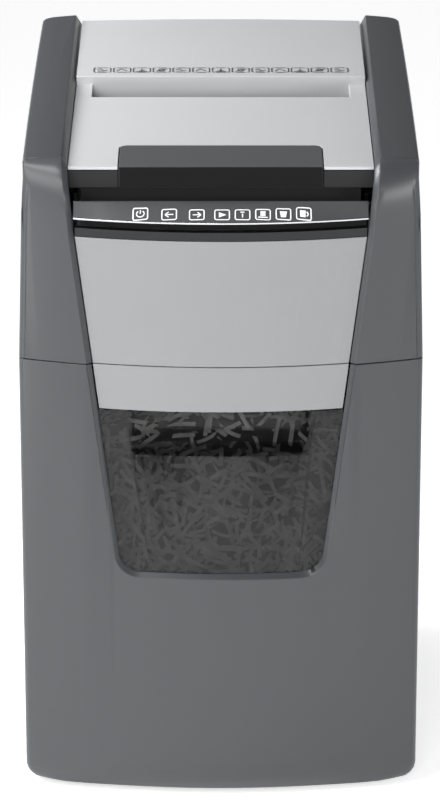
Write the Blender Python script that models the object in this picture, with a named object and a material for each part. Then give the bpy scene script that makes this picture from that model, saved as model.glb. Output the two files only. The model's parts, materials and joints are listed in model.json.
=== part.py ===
"""Auto-feed floor paper shredder: cabinet, pull-out bin, shredding head and rear-hinged lid.

Metres, +Z up, front face towards -Y, origin on the floor under the middle of the object.
Every piece is a separate closed solid. Moving pieces hang from an empty on their joint's axis.
"""

import math

import bmesh
import bpy
from mathutils import Vector

# ---- Driving dimensions -------------------------------------------------------------------
GAP = 0.0003            # between pieces that touch
SEAM = 0.0006           # visible joint line between mouldings
WALL = 0.003            # moulded wall
LID_GAP = 0.0005        # between the lid's plates and its arms

HALF_WIDTH = 0.1714     # cabinet
HEAD_HALF_WIDTH_520 = 0.1675
HEAD_HALF_WIDTH_TOP = 0.1646
FRONT_RADIUS = 0.465    # plan curve of the whole front
FRONT_FACE_Y = -0.2055  # dark mouldings, on the centre line
INSERT_FACE_Y = -0.2000  # silver fascia, band and window, set back in the dark mouldings
FRONT_WALL = 0.0052
RIM_WIDTH = 0.0045      # sloping rim round the opening in the dark mouldings
REAR_Y = 0.2015
REAR_RADIUS = 1.64
FRONT_CORNER = 0.008
REAR_CORNER = 0.015
SIDE_JOINT_Y = -0.150   # where the bin front's returns meet the cabinet sides

SKIRT_Z = 0.006
FOOT_RADIUS = 0.014      # round along the lower side edges
TOE_Z = 0.031            # below here the front curves under
BASE_Z = 0.025
SEAM_Z = 0.3942         # bin and cabinet below, head above
CHASSIS_Z = 0.397
WINDOW_LOW = 0.2095
BAND_LOW = 0.3536
FASCIA_TOP = 0.5036
STRIP_TOP = 0.5113
TRIM_Z = 0.5195
PANEL_TOP_Y = -0.178
PANEL_TOP_Z = 0.5325

LID_SLOPE = math.tan(math.radians(6.25))
LID_FRONT_Y = -0.164
LID_FRONT_Z = 0.5587
LID_PLATE_HALF = 0.1282
PLATE = 0.0028           # thickness of the silver lid plates
LID_SKIRT_Z = 0.5404
SLOT_HALF = 0.1136
SLOT_FRONT_Y = 0.008
SLOT_REAR_Y = 0.0415
SLOT_DEPTH = 0.0125      # of the silver wall behind the slot, below the front plate
REAR_PLATE_STEP = 0.0070
ARM_FRONT_Y = -0.160
ARM_FRONT_Z = 0.566
ARM_SLOPE = 0.123
ARM_DEPTH = 0.018
ARM_OUTER = 0.1664
ARM_CHAMFER = 0.0052     # inner chamfer, carried on along the pillars' inner edges
SHOULDER_LOW_Z = 0.525
SHOULDER_RISE = 0.041
HEAD_INNER_Z = 0.520     # above here the pillars' inner edges widen to the lid's width
HINGE_Y = 0.184
HINGE_Z = 0.555
EAR_X = 0.147           # middle of each hinge ear
PIN_X = 0.1512          # middle of each hinge pin
HANDLE_HALF = 0.0855
HANDLE_REAR_Y = -0.114

CUTTER_Z = 0.470
CUTTER_FRONT_Y = -0.022
CUTTER_REAR_Y = 0.016
CUTTER_RADIUS = 0.020
SHAFT_RADIUS = 0.007
SPACER_RADIUS = 0.012
STEP = 0.00001           # lets a turned profile step straight out
DISC_PITCH = 0.016
DISC_WIDTH = 0.0073
DISC_COUNT = 14
FRAME_X = 0.125
GEAR_MODULE = (CUTTER_REAR_Y - CUTTER_FRONT_Y) / 24
REDUCTION_Y = CUTTER_REAR_Y + GEAR_MODULE * (24 + 12) / 2
MOTOR_Y = REDUCTION_Y + GEAR_MODULE * (48 + 12) / 2

SWITCH_X = 0.105
SWITCH_Z = 0.432
GLAND_X = -0.105
GLAND_Z = 0.425

for old in list(bpy.data.objects):
    bpy.data.objects.remove(old, do_unlink=True)


# ---- Materials and mesh helpers -----------------------------------------------------------
def material(name, hex_colour, roughness, metallic=0.0):
    made = bpy.data.materials.new(name)
    made.use_nodes = True
    shader = made.node_tree.nodes["Principled BSDF"]
    channels = [int(hex_colour[i:i + 2], 16) / 255 for i in (0, 2, 4)]
    shader.inputs["Base Color"].default_value = [c ** 2.2 for c in channels] + [1.0]
    shader.inputs["Roughness"].default_value = roughness
    shader.inputs["Metallic"].default_value = metallic
    return made


DARK = material("dark_grey_abs", "6c6e71", 0.45)
SILVER = material("silver_painted_abs", "bcbdbf", 0.4, 0.3)
BLACK = material("black_abs", "2a2a2b", 0.35)
SMOKE = material("smoked_polycarbonate", "3a3a3b", 0.15)
CHROME = material("chrome", "dcdcdc", 0.1, 1.0)
STEEL = material("steel", "9a9a98", 0.35, 1.0)
RUBBER = material("rubber", "242424", 0.8)
BOARD = material("circuit_board", "2f5a3a", 0.6)


def mesh_object(name, points, faces, finish):
    mesh = bpy.data.meshes.new(name)
    mesh.from_pydata([tuple(p) for p in points], [], faces)
    shape = bmesh.new()
    shape.from_mesh(mesh)
    bmesh.ops.recalc_face_normals(shape, faces=shape.faces)
    shape.to_mesh(mesh)
    shape.free()
    mesh.materials.append(finish)
    mesh.set_sharp_from_angle(angle=math.radians(35))
    made = bpy.data.objects.new(name, mesh)
    bpy.context.scene.collection.objects.link(made)
    return made


def loft(name, rings, finish):
    """A closed solid through equal rings of points, capped at both ends."""
    count = len(rings[0])
    points = [p for ring in rings for p in ring]
    faces = []
    for level in range(len(rings) - 1):
        for i in range(count):
            j = (i + 1) % count
            low, high = level * count, (level + 1) * count
            faces.append((low + i, low + j, high + j, high + i))
    faces.append(tuple(range(count)))
    faces.append(tuple(range(len(points) - count, len(points))))
    return mesh_object(name, points, faces, finish)


def slab(name, outline, axis, low, high, finish):
    """An outline extruded along one axis. Outlines are (y, z), (x, z) or (x, y) by axis."""
    place = {
        "x": lambda a, b, h: (h, a, b),
        "y": lambda a, b, h: (a, h, b),
        "z": lambda a, b, h: (a, b, h),
    }[axis]
    return loft(name, [[place(a, b, h) for a, b in outline] for h in (low, high)], finish)


def block(name, low, high, finish):
    outline = [(low[0], low[1]), (high[0], low[1]), (high[0], high[1]), (low[0], high[1])]
    return slab(name, outline, "z", low[2], high[2], finish)


def turned(name, profile, centre, finish, sides=24, axis="x"):
    """A solid of revolution: profile is (distance along the axis, radius)."""
    rings = []
    for along, radius in profile:
        ring = []
        for i in range(sides):
            angle = 2 * math.pi * i / sides
            a, b = radius * math.cos(angle), radius * math.sin(angle)
            offset = {"x": (along, a, b), "y": (a, along, b), "z": (a, b, along)}[axis]
            ring.append(Vector(centre) + Vector(offset))
        rings.append(ring)
    return loft(name, rings, finish)


def combine(target, tool, operation):
    tool.hide_render = True
    tool.display_type = "WIRE"
    modifier = target.modifiers.new(operation.lower() + "_" + tool.name, "BOOLEAN")
    modifier.operation = operation
    modifier.solver = "EXACT"
    modifier.object = tool
    return target


def cut(target, tool):
    return combine(target, tool, "DIFFERENCE")


def join(target, tool):
    return combine(target, tool, "UNION")


def keep_inside(target, tool):
    return combine(target, tool, "INTERSECT")


def pivot(name, location):
    """An empty on a joint's axis, which carries the pieces that move about it."""
    made = bpy.data.objects.new(name, None)
    made.location = location
    bpy.context.scene.collection.objects.link(made)
    return made


def hang(parent, *pieces):
    for piece in pieces:
        piece.parent = parent
        piece.location = -parent.location


# ---- Shared outlines ----------------------------------------------------------------------
def arc_back(x, radius):
    return radius - math.sqrt(radius * radius - x * x)


def front_y(x, face=INSERT_FACE_Y):
    return face + arc_back(x, FRONT_RADIUS)


def rear_y(x):
    return REAR_Y - arc_back(x, REAR_RADIUS)


def spread(low, high, steps):
    return [low + (high - low) * i / steps for i in range(steps + 1)]


def opening_half(z):
    """Half width of the tapered opening that the fascia, band and window fill."""
    if z > FASCIA_TOP:
        return 0.123 + (z - FASCIA_TOP) * 0.083
    return 0.123 - 0.1285 * (FASCIA_TOP - z)


def lid_z(y, below=0.0):
    """Height of the lid's sloping planes, measured below the front plate's top."""
    return LID_FRONT_Z - below + (y - LID_FRONT_Y) * LID_SLOPE


def arm_top(y):
    return ARM_FRONT_Z + (y - ARM_FRONT_Y) * ARM_SLOPE


def crown(x):
    """The tops of the arms and shoulders fall slightly towards their outer edges."""
    return (0.1495 - x) * 0.052


def arm_bottom(y):
    """Lower edge of the lid's arms: a straight line, then an arc about the hinge."""
    if y <= HINGE_Y:
        return arm_top(y) - ARM_DEPTH
    reach = arm_top(HINGE_Y) - ARM_DEPTH - HINGE_Z
    return HINGE_Z + math.sqrt(reach * reach - (y - HINGE_Y) ** 2)


def fillet(before, corner, after, radius, steps=6):
    """Points of a round that replaces a corner of a path."""
    a = (Vector(before) - Vector(corner)).normalized()
    b = (Vector(after) - Vector(corner)).normalized()
    half = a.angle(b) / 2
    centre = Vector(corner) + (a + b).normalized() * (radius / math.sin(half))
    start = Vector(corner) + a * (radius / math.tan(half)) - centre
    end = Vector(corner) + b * (radius / math.tan(half)) - centre
    points = []
    for i in range(steps + 1):
        t = i / steps
        swing = start.angle(end)
        mixed = start * math.sin((1 - t) * swing) + end * math.sin(t * swing)
        points.append(tuple(centre + mixed / math.sin(swing)))
    return points


def thicken(path, thickness):
    """A closed strip outline: the path, and the same path moved to its left by the thickness."""
    inner = []
    for i, here in enumerate(path):
        near = [j for j in (i - 1, i) if 0 <= j < len(path) - 1]
        normals = []
        for j in near:
            run = Vector(path[j + 1]) - Vector(path[j])
            normals.append(Vector((-run.y, run.x)).normalized())
        middle = sum(normals, Vector((0, 0))).normalized()
        inner.append(tuple(Vector(here) + middle * thickness / middle.dot(normals[0])))
    return list(path) + inner[::-1]


def side_path(start_x, end_x, from_front=True):
    """Plan path round the right side: along the front from start_x, or from the side joint."""
    rear_corner = (HALF_WIDTH, rear_y(HALF_WIDTH))
    rear_run = [(x, rear_y(x)) for x in spread(0.150, end_x, 2)]
    path = []
    front_corner = (HALF_WIDTH, front_y(HALF_WIDTH, FRONT_FACE_Y))
    if from_front:
        run = [(x, front_y(x, FRONT_FACE_Y)) for x in spread(start_x, 0.160, 5)]
        path += run + fillet(run[-1], front_corner, rear_corner, FRONT_CORNER)
    else:
        path.append((HALF_WIDTH, SIDE_JOINT_Y + SEAM))
    path += fillet(path[-1], rear_corner, rear_run[0], REAR_CORNER, 5)
    return path + rear_run[1:]


def mirrored(points):
    return [(-x, y) for x, y in points][::-1]


def head_width(z):
    """Half width of the head, which leans in slightly, and more so above the control panel."""
    if z < HEAD_INNER_Z:
        share = (z - SEAM_Z) / (HEAD_INNER_Z - SEAM_Z)
        return HALF_WIDTH + (HEAD_HALF_WIDTH_520 - HALF_WIDTH) * share
    share = min((z - HEAD_INNER_Z) / (ARM_FRONT_Z - HEAD_INNER_Z), 1.0)
    return HEAD_HALF_WIDTH_520 + (HEAD_HALF_WIDTH_TOP - HEAD_HALF_WIDTH_520) * share


def foot_inset(z):
    """How far the side faces round inwards above the floor."""
    rise = max(0.0, FOOT_RADIUS - (z - SKIRT_Z))
    return FOOT_RADIUS - math.sqrt(FOOT_RADIUS ** 2 - rise ** 2) if rise else 0.0


def toe_inset(x, z):
    """How far the front curves under, most of all in the middle."""
    reach = 0.0105 - 0.0085 * min(abs(x) / 0.150, 1.0) ** 3
    return reach * (max(0.0, TOE_Z - z) / (TOE_Z - SKIRT_Z)) ** 2


# ---- Cabinet ------------------------------------------------------------------------------
LOW_LEVELS = (SKIRT_Z, 0.008, 0.011, 0.015, 0.020, TOE_Z)


def shell(name, outline, levels, change, finish):
    rings = [[change(x, y, z) for x, y in outline] for z in levels]
    return loft(name, rings, finish)


def sideways(x):
    """0 in the middle of the front and back, rising to 1 (or -1) at the side faces."""
    return math.copysign(max(0.0, min(1.0, (abs(x) - 0.125) / 0.040)), x)


def rounded_low(x, y, z):
    front = 1.0 if y < SIDE_JOINT_Y + 0.02 else 0.0
    return (x - sideways(x) * foot_inset(z), y + front * toe_inset(x, z), z)


def cabinet():
    levels = LOW_LEVELS + (SEAM_Z - SEAM,)
    right = thicken(side_path(0, 0.1250, from_front=False), WALL)
    shell("cabinet_right_panel", right, levels, rounded_low, DARK)
    shell("cabinet_left_panel", mirrored(right), levels, rounded_low, DARK)
    back = thicken([(x, rear_y(x)) for x in spread(0.1245, -0.1245, 8)], WALL)
    slab("cabinet_back_panel", back, "z", SKIRT_Z, SEAM_Z - SEAM, DARK)
    block("base_plate", (-0.1670, SIDE_JOINT_Y + 0.002, BASE_Z), (0.1670, 0.176, BASE_Z + 0.006), BLACK)
    for side, sign in (("left", -1), ("right", 1)):
        xs = sorted((sign * 0.118, sign * 0.130))
        block(f"bin_rail_{side}", (xs[0], -0.145, BASE_Z + 0.006 + GAP), (xs[1], 0.165, 0.0372), STEEL)
        for end, y in (("front", -0.120), ("rear", 0.150)):
            profile = [(0.0, 0.013), (0.002, 0.015), (0.018, 0.015), (BASE_Z - GAP, 0.011)]
            turned(f"foot_{end}_{side}", profile, (sign * 0.138, y, 0), RUBBER, 20, "z")


# ---- Pull-out bin -------------------------------------------------------------------------
def curved_plate(name, low, high, half, face, thickness, finish, steps=24):
    """A plate that follows the front's plan curve; half(z) is its half width."""
    rings = []
    for u in spread(-1.0, 1.0, steps):
        ring = []
        for z, back in ((low, 0.0), (high, 0.0), (high, thickness), (low, thickness)):
            x = u * half(z)
            ring.append((x, front_y(x, face) + back, z))
        rings.append(ring)
    return loft(name, rings, finish)


def window_outline(spread_out=0.0):
    """Front view of the opening in the bin front: tapered, with round lower corners."""
    low, high = WINDOW_LOW - spread_out, SEAM_Z + 0.05
    corners = [(opening_half(high) + spread_out, high), (opening_half(low) + spread_out, low)]
    mirror = [(-x, z) for x, z in corners[::-1]]
    right = fillet(corners[0], corners[1], mirror[0], 0.018 + spread_out, 7)
    left = fillet(corners[1], mirror[0], mirror[1], 0.018 + spread_out, 7)
    below = [(x, low) for x in spread(0.060, -0.060, 6)]
    return [corners[0]] + right + below + left + [mirror[1]]


def rim_cutter(name, outline):
    """Cuts an opening whose edge slopes back from the dark face to the insert behind it."""
    wide, narrow = outline(RIM_WIDTH), outline(0.0)
    rings = [
        [(x, -0.240, z) for x, z in wide],
        [(x, front_y(x, FRONT_FACE_Y) - 0.0001, z) for x, z in wide],
        [(x, front_y(x, FRONT_FACE_Y) + FRONT_WALL + 0.0001, z) for x, z in narrow],
        [(x, -0.130, z) for x, z in narrow]]
    return loft(name, rings, DARK)


def bin_pieces():
    slide = pivot("bin_slide_axis", (0, -0.20, 0.20))

    corner = (HALF_WIDTH, front_y(HALF_WIDTH, FRONT_FACE_Y))
    run = [(x, front_y(x, FRONT_FACE_Y)) for x in spread(-0.160, 0.160, 24)]
    joint = (HALF_WIDTH, SIDE_JOINT_Y)
    right = fillet(run[-1], corner, joint, FRONT_CORNER) + [joint]
    path = mirrored(right) + run + right
    levels = LOW_LEVELS + (0.120, SEAM_Z - SEAM)
    panel = shell("bin_front_panel", thicken(path, FRONT_WALL), levels, rounded_low, DARK)
    cut(panel, rim_cutter("window_cutter", window_outline))

    band = curved_plate(
        "bin_band", BAND_LOW + SEAM, SEAM_Z - SEAM, lambda z: opening_half(z) - 0.0008,
        INSERT_FACE_Y, WALL, SILVER)

    window = curved_plate(
        "bin_window", WINDOW_LOW - 0.006, BAND_LOW - 0.0002, lambda z: opening_half(z) + 0.004,
        INSERT_FACE_Y, 0.002, SMOKE)
    pocket_half, pocket_low, pocket_high, pocket_back = 0.0766, 0.3135, 0.369, -0.160
    rings = []
    for x in spread(-pocket_half, pocket_half, 10):
        front = front_y(x) + 0.001
        clear = front_y(x) + WALL + GAP
        rings.append([
            (x, front, pocket_low), (x, front, BAND_LOW - 0.0004), (x, clear, BAND_LOW - 0.0004),
            (x, clear, pocket_high), (x, pocket_back, pocket_high), (x, pocket_back, pocket_low)])
    join(window, loft("pocket_body", rings, SMOKE))
    hollow = block("pocket_hollow", (-0.075, -0.23, 0.3151), (0.075, -0.1616, 0.3674), SMOKE)
    cut(window, hollow)

    tub = block("bin_tub", (-0.150, -0.1575, 0.0375), (0.150, 0.160, 0.372), BLACK)
    cut(tub, block("tub_hollow", (-0.1475, -0.155, 0.040), (0.1475, 0.1575, 0.40), BLACK))
    cut(tub, block("tub_aperture", (-0.130, -0.18, 0.060), (0.130, -0.150, 0.41), BLACK))
    hang(slide, panel, band, window, tub)


# ---- Head housing -------------------------------------------------------------------------
def head_edge(z):
    """Inner edge of the pillars: beside the fascia, then widening to the lid's width."""
    if z <= HEAD_INNER_Z:
        return opening_half(z)
    share = min((z - HEAD_INNER_Z) / (ARM_FRONT_Z - HEAD_INNER_Z), 1.0)
    low = opening_half(HEAD_INNER_Z)
    return low + (LID_PLATE_HALF + LID_GAP - low) * share


def shoulder_run(x, cut_back, cut_down):
    """Side view of a pillar at x: an upright face, then a quarter ellipse to the arm's end.

    The face is set back and the ellipse's top lowered by the two last values.
    """
    end_y = ARM_FRONT_Y - SEAM
    depth = end_y - front_y(x, FRONT_FACE_Y) - cut_back
    rise = SHOULDER_RISE + crown(x) - cut_down
    turn = [math.radians(a) for a in range(0, 91, 9)]
    return [(end_y - depth * math.cos(a), SHOULDER_LOW_Z + rise * math.sin(a)) for a in turn]


def pillar_front(name, sign):
    """Front skin of a pillar and its shoulder, with a chamfer along the inner edge."""
    upright = (SEAM_Z, 0.440, 0.475, FASCIA_TOP, HEAD_INNER_Z)
    shoulder = [z for _, z in shoulder_run(0.1495, 0.0, 0.0)]
    rings = []
    for station in range(-1, 9):
        sunk = FRONT_WALL if station < 0 else 0.0
        outside, inside = [], []
        for i, z in enumerate(list(upright) + shoulder):
            x = head_edge(z)
            if station >= 0:
                x += RIM_WIDTH + (0.176 - x - RIM_WIDTH) * station / 8
            face = front_y(x, FRONT_FACE_Y) + sunk
            if i < len(upright):
                outside.append((sign * x, face, z))
                inside.append((sign * x, face + FRONT_WALL, z))
                continue
            point = shoulder_run(x, sunk, sunk)[i - len(upright)]
            under = shoulder_run(x, sunk + FRONT_WALL, sunk + WALL)[i - len(upright)]
            outside.append((sign * x, *point))
            inside.append((sign * x, *under))
        rings.append(outside + inside[::-1])
    return loft(name, rings, DARK)


def head_profile():
    """Side view of the head's side walls: below the shoulder, then the seam under the arms."""
    shoulder = [(-0.230, 0.520), (-0.1700, 0.530), (-0.1680, 0.545), (-0.1630, 0.558), (-0.1606, 0.562)]
    seam = [(y, arm_bottom(y) - 0.0008) for y in (ARM_FRONT_Y, HINGE_Y, 0.190, 0.195, 0.1995, 0.2035)]
    return [(-0.230, SEAM_Z - 0.01)] + shoulder + seam + [(0.2035, SEAM_Z - 0.01)]


def head_change(x, y, z):
    return (x - sideways(x) * (HALF_WIDTH - head_width(z)), y, z)


def head_side(side, sign):
    """One side moulding: pillar front and shoulder, side wall, rear corner, hinge boss."""
    def mirror(path):
        return path if sign > 0 else mirrored(path)

    levels = (SEAM_Z, 0.457, HEAD_INNER_Z, 0.543, ARM_FRONT_Z, 0.605)
    path = side_path(0.100, 0.1250)
    corner = next(i for i, (x, _) in enumerate(path) if x > 0.1601)
    panel = pillar_front(f"head_{side}_side", sign)
    outside = path[corner:-6] + [(0.200, 0.100), (0.200, -0.250), (path[corner][0], -0.250)]
    cut(panel, shell(f"corner_cutter_{side}", mirror(outside), levels, head_change, DARK))

    wall = shell(f"head_wall_{side}", mirror(thicken(path[corner:], WALL)), levels, head_change, DARK)
    cheek_x = sorted((sign * 0.1292, sign * 0.1322))
    under = shoulder_run(0.1307, 0.0048, 0.0062)
    outline = [(under[0][0], 0.500)] + under + [(under[-1][0], 0.500)]
    cheek = slab(f"cheek_{side}", outline, "x", cheek_x[0], cheek_x[1], DARK)
    keep_inside(wall, slab(f"head_envelope_{side}", head_profile(), "x", -0.2, 0.2, DARK))
    join(panel, wall)
    join(panel, cheek)

    boss = [(0.1512, 0.1765), (0.1640, 0.1765), (0.1640, 0.1810), (0.1600, 0.1870), (0.1512, 0.1870)]
    join(panel, slab(f"hinge_boss_{side}", mirror(boss), "z", HINGE_Z - 0.008, HINGE_Z + 0.008, DARK))
    hole = [(-0.006, 0.0041), (0.006, 0.0041)]
    cut(panel, turned(f"boss_hole_{side}", hole, (sign * 0.156, HINGE_Y, HINGE_Z), DARK, 20))
    xs = sorted((sign * (EAR_X - 0.0038), sign * (EAR_X + 0.0038)))
    cut(panel, block(f"knuckle_notch_{side}", (xs[0], 0.170, HINGE_Z - 0.016), (xs[1], 0.22, 0.62), DARK))


def head_housing():
    head_side("right", 1)
    head_side("left", -1)

    back = thicken([(x, rear_y(x)) for x in spread(0.1235, -0.1235, 8)], WALL)
    cover = slab("head_back_cover", back, "z", SEAM_Z, 0.5850, DARK)
    for i in range(7):
        z = 0.475 + i * 0.010
        cut(cover, block(f"vent_{i}", (-0.055, 0.18, z), (0.055, 0.22, z + 0.0035), DARK))
    low = (SWITCH_X - 0.0070, 0.18, SWITCH_Z - 0.0140)
    high = (SWITCH_X + 0.0070, 0.22, SWITCH_Z + 0.0140)
    cut(cover, block("switch_cutter", low, high, DARK))
    hole = [(-0.01, 0.0073), (0.03, 0.0073)]
    cut(cover, turned("gland_cutter", hole, (GLAND_X, 0.185, GLAND_Z), DARK, 20, "y"))

    chassis = block("head_chassis", (-0.1655, -0.165, CHASSIS_Z), (0.1655, 0.176, CHASSIS_Z + 0.004), BLACK)
    cut(chassis, block("discharge_cutter", (-0.118, -0.048, 0.39), (0.118, 0.042, 0.41), BLACK))

    curved_plate("front_fascia", SEAM_Z, FASCIA_TOP, lambda z: opening_half(z) - 0.0008,
                 INSERT_FACE_Y, WALL, SILVER)


def profile_across(name, half, section, finish, steps=24):
    """A piece made by sweeping a (y, z) section, which depends on x, across the front."""
    rings = []
    for x in spread(-half, half, steps):
        rings.append([(x, y, z) for y, z in section(x)])
    return loft(name, rings, finish)


def strip_section(x):
    """Dark strip over the fascia, with the undercut below the trim line."""
    y = front_y(x)
    low, high = FASCIA_TOP + SEAM, TRIM_Z - 0.0012
    return [(y, low), (y, STRIP_TOP), (y + 0.004, STRIP_TOP + 0.0012), (y + 0.004, high),
            (y + 0.0065, high), (y + 0.0065, low)]


def panel_section(x):
    """Slanted control panel with the shelf under the lid's front edge."""
    y = front_y(x)
    deck = PANEL_TOP_Z - 0.009
    return [(y, TRIM_Z), (PANEL_TOP_Y, PANEL_TOP_Z), (PANEL_TOP_Y + 0.002, PANEL_TOP_Z),
            (PANEL_TOP_Y + 0.002, deck), (-0.157, deck), (-0.157, deck - 0.0025),
            (PANEL_TOP_Y + 0.0005, deck - 0.0025), (y + 0.0032, TRIM_Z)]


def trim_section(x):
    y = front_y(x)
    return [(y - 0.0012, TRIM_Z - 0.0008), (y - 0.0012, TRIM_Z + 0.0005), (y - GAP, TRIM_Z + 0.0005),
            (y - GAP, TRIM_Z - GAP), (y + 0.003, TRIM_Z - GAP), (y + 0.003, TRIM_Z - 0.0008)]


def front_trim():
    half = opening_half(STRIP_TOP) - 0.0015
    profile_across("fascia_strip", half, strip_section, BLACK)
    profile_across("control_panel", half + 0.0011, panel_section, BLACK)
    profile_across("chrome_trim", half + 0.0011, trim_section, CHROME)


def feed_tray():
    """Paper well under the lid: sloping floor with the roller opening, walls and a wide rim."""
    floor, rim = 0.0613, 0.0177

    def tray_block(name, x_half, y_low, y_high, below_top, below_low):
        outline = [(y_low, lid_z(y_low, below_low)), (y_high, lid_z(y_high, below_low)),
                   (y_high, lid_z(y_high, below_top)), (y_low, lid_z(y_low, below_top))]
        return slab(name, outline, "x", -x_half, x_half, BLACK)

    tray = tray_block("feed_tray", 0.1180, -0.1540, 0.1660, rim + 0.001, floor + 0.003)
    join(tray, tray_block("tray_rim", 0.1590, -0.1545, 0.1720, rim, rim + 0.003))
    cut(tray, tray_block("tray_hollow", 0.1155, -0.1515, 0.1635, rim - 0.01, floor))
    cut(tray, block("roller_opening", (-0.1150, -0.028, 0.48), (0.1150, 0.022, 0.55), BLACK))


# ---- Shredding mechanism ------------------------------------------------------------------
def gear_outline(teeth, phase):
    """Tooth by tooth outline about the origin, as (y, z)."""
    pitch_radius = GEAR_MODULE * teeth / 2
    root, tip = pitch_radius - 1.25 * GEAR_MODULE, pitch_radius + 0.85 * GEAR_MODULE
    step = 2 * math.pi / teeth
    points = []
    for i in range(teeth):
        middle = (i + phase) * step
        for offset, radius in ((-0.32, root), (-0.10, tip), (0.10, tip), (0.32, root)):
            angle = middle + offset * step
            points.append((radius * math.cos(angle), radius * math.sin(angle)))
    return points


def gear(name, teeth, phase, y, low, high):
    outline = [(y + a, CUTTER_Z + b) for a, b in gear_outline(teeth, phase)]
    return slab(name, outline, "x", low, high, STEEL)


def cutter_profile(first_disc):
    """Shaft with cutting discs; the partner roll's discs stand in the spaces."""
    points = [(-0.1310, SHAFT_RADIUS)]
    for i in range(DISC_COUNT):
        low = first_disc + i * DISC_PITCH
        high = low + DISC_WIDTH
        points += [(low, SPACER_RADIUS), (low + STEP, CUTTER_RADIUS)]
        points += [(high, CUTTER_RADIUS), (high + STEP, SPACER_RADIUS)]
    start = [(points[1][0] - STEP, SHAFT_RADIUS)]
    end = [(points[-1][0] + STEP, SHAFT_RADIUS), (0.1297, SHAFT_RADIUS)]
    return points[:1] + start + points[1:] + end


def mechanism():
    tray_under = 0.0613 + 0.003 + 0.001
    for side, sign, rear in (("left", -1, 0.050), ("right", 1, 0.118)):
        low_z = CHASSIS_Z + 0.004 + GAP
        outline = [(-0.050, low_z), (rear, low_z), (rear, lid_z(rear, tray_under)),
                   (-0.050, lid_z(-0.050, tray_under))]
        xs = sorted((sign * FRAME_X, sign * (FRAME_X + 0.003)))
        frame = slab(f"cutter_frame_{side}", outline, "x", xs[0], xs[1], STEEL)
        holes = [(CUTTER_FRONT_Y, CUTTER_Z, 0.0113), (CUTTER_REAR_Y, CUTTER_Z, 0.0113)]
        holes += [(-0.0155, 0.505, 0.0033), (0.0095, 0.5074, 0.0033)]
        if sign > 0:
            holes += [(REDUCTION_Y, CUTTER_Z, 0.0045), (MOTOR_Y, CUTTER_Z, 0.0060)]
        for i, (y, z, radius) in enumerate(holes):
            tool = turned(f"hole_{side}_{i}", [(-0.01, radius), (0.01, radius)],
                          (sign * 0.1265, y, z), STEEL, 20)
            cut(frame, tool)
        for end, y in (("front", CUTTER_FRONT_Y), ("rear", CUTTER_REAR_Y)):
            start = sign * 0.1265 - 0.0025
            ring = turned(f"bearing_{end}_{side}", [(0, 0.0110), (0.005, 0.0110)],
                          (start, y, CUTTER_Z), STEEL, 20)
            cut(ring, turned(f"bearing_bore_{end}_{side}", [(-0.01, 0.0074), (0.02, 0.0074)],
                             (start, y, CUTTER_Z), STEEL, 20))

    first = -DISC_PITCH * DISC_COUNT / 2 + 0.00035
    for end, y, shift in (("front", CUTTER_FRONT_Y, 0.0), ("rear", CUTTER_REAR_Y, DISC_PITCH / 2)):
        axis = pivot(f"cutter_{end}_axis", (0, y, CUTTER_Z))
        roll = turned(f"cutter_roll_{end}", cutter_profile(first + shift), (0, y, CUTTER_Z), STEEL, 16)
        wheel = gear(f"cutter_gear_{end}", 24, 0.0 if end == "front" else 0.5, y, 0.1302, 0.1380)
        hang(axis, roll, wheel)

        outward = -1 if end == "front" else 1
        bar_y = y + outward * 0.0285
        comb = [(-0.1240, bar_y), (-0.1240, y + outward * 0.0225)]
        for i in range(DISC_COUNT - 1):
            gap_middle = first + shift + DISC_WIDTH / 2 + (i + 0.5) * DISC_PITCH
            for dx, reach in ((-0.003, 0.0225), (-0.003, 0.0130), (0.003, 0.0130), (0.003, 0.0225)):
                comb.append((gap_middle + dx, y + outward * reach))
        comb += [(0.1240, y + outward * 0.0225), (0.1240, bar_y)]
        slab(f"stripper_comb_{end}", comb, "z", CUTTER_Z - 0.0015, CUTTER_Z + 0.0015, STEEL)
        rod_y = -0.044 if end == "front" else 0.038
        turned(f"tie_rod_{end}", [(-0.1245, 0.004), (0.1245, 0.004)], (0, rod_y, 0.420), STEEL, 16)

    axis = pivot("reduction_axis", (0.130, REDUCTION_Y, CUTTER_Z))
    wheels = gear("reduction_gear", 48, 0.0, REDUCTION_Y, 0.1402, 0.1460)
    join(wheels, gear("reduction_small", 12, 0.0, REDUCTION_Y, 0.1302, 0.1410))
    join(wheels, turned("reduction_shaft", [(0.1244, 0.004), (0.1310, 0.004)],
                        (0, REDUCTION_Y, CUTTER_Z), STEEL, 16))
    hang(axis, wheels)

    axis = pivot("motor_axis", (0.130, MOTOR_Y, CUTTER_Z))
    pinion = gear("motor_pinion", 12, 0.5, MOTOR_Y, 0.1402, 0.1470)
    join(pinion, turned("pinion_shaft", [(0.1235, 0.005), (0.1410, 0.005)],
                        (0, MOTOR_Y, CUTTER_Z), STEEL, 16))
    hang(axis, pinion)
    can = [(-0.010, 0.010), (-0.009, 0.030), (0.112, 0.030), (0.116, 0.027), (0.117, 0.012), (0.1230, 0.012)]
    turned("motor_body", can, (0, MOTOR_Y, CUTTER_Z), STEEL, 28)

    for end, y, z in (("front", -0.0155, 0.505), ("rear", 0.0095, 0.5074)):
        profile = [(-0.1305, 0.003), (-0.101, 0.003)]
        for middle in (-0.080, 0.0, 0.080):
            low, high = middle - 0.020, middle + 0.020
            profile += [(low, 0.004), (low + 0.0002, 0.011), (high - 0.0002, 0.011), (high, 0.004)]
        profile += [(0.101, 0.003), (0.1305, 0.003)]
        axis = pivot(f"pickup_{end}_axis", (0, y, z))
        hang(axis, turned(f"pickup_roller_{end}", profile, (0, y, z), RUBBER, 18))


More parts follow.
